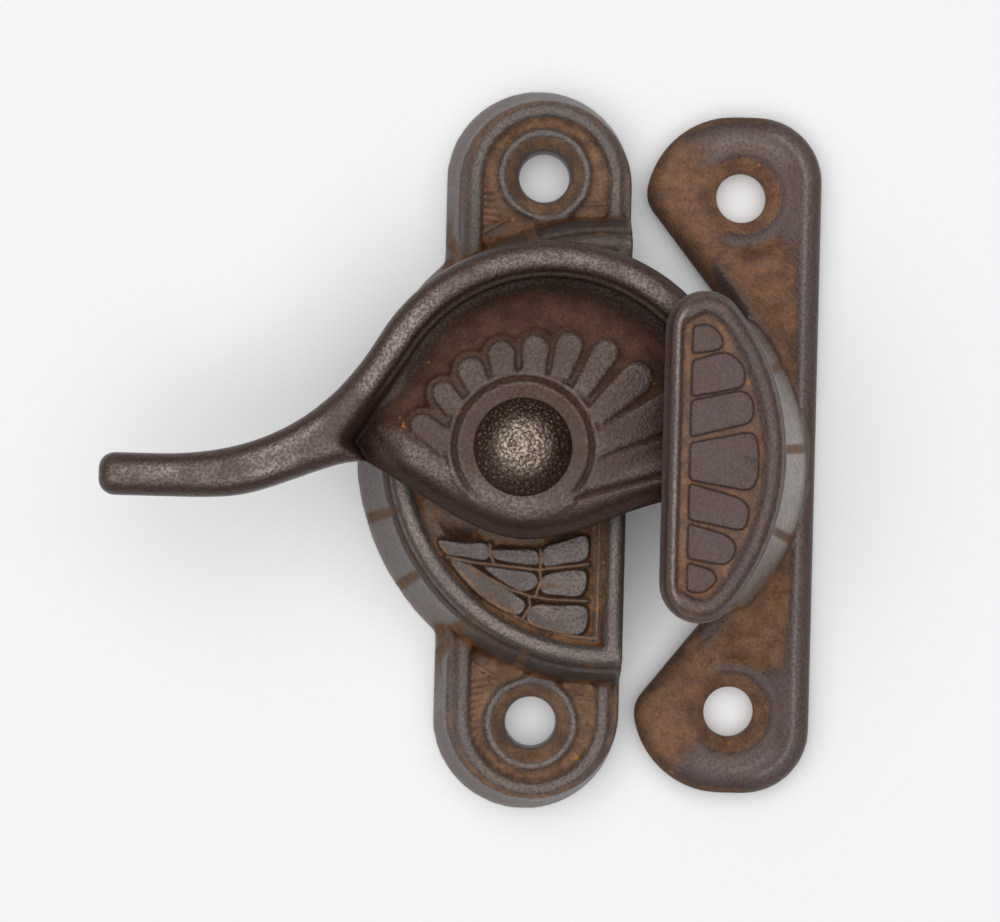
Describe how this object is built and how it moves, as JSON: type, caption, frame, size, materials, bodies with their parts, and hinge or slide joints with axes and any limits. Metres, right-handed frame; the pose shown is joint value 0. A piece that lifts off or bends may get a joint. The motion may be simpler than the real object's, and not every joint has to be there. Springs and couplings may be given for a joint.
{
  "type": "sash lock with keeper",
  "caption": "Cast-iron window sash lock: a riveted sweep lever turns on a half-round base, and its eccentric rim hooks under the cap of a matching keeper.",
  "frame": {"origin": "midway between the two screw holes of the base, on the face that lies on the sash", "axes": "+X from the base to the keeper, +Y along the meeting rails, +Z away from the sash"},
  "size_m": [0.0678, 0.07, 0.0194],
  "materials": {
    "cast_iron": "worn brown iron with rust in the recesses",
    "rivet_iron": "pebbled brown iron with a satin sparkle",
    "spring_steel": "dark blued spring steel"
  },
  "bodies": {
    "base": {"base": "cast_iron", "keeper": "cast_iron", "leaf_spring": "spring_steel"},
    "lever": {"lever": "cast_iron", "pivot_rivet": "rivet_iron", "detent_cam": "rivet_iron", "rivet_washer": "rivet_iron"}
  },
  "joints": [
    {"name": "lever_swing", "type": "hinge", "parent": "base", "child": "lever", "pos_m": [-0.0015, 0, 0.0097], "axis": [0, 0, 1], "range_deg": [0, 90], "deforming": ["leaf_spring"]}
  ]
}
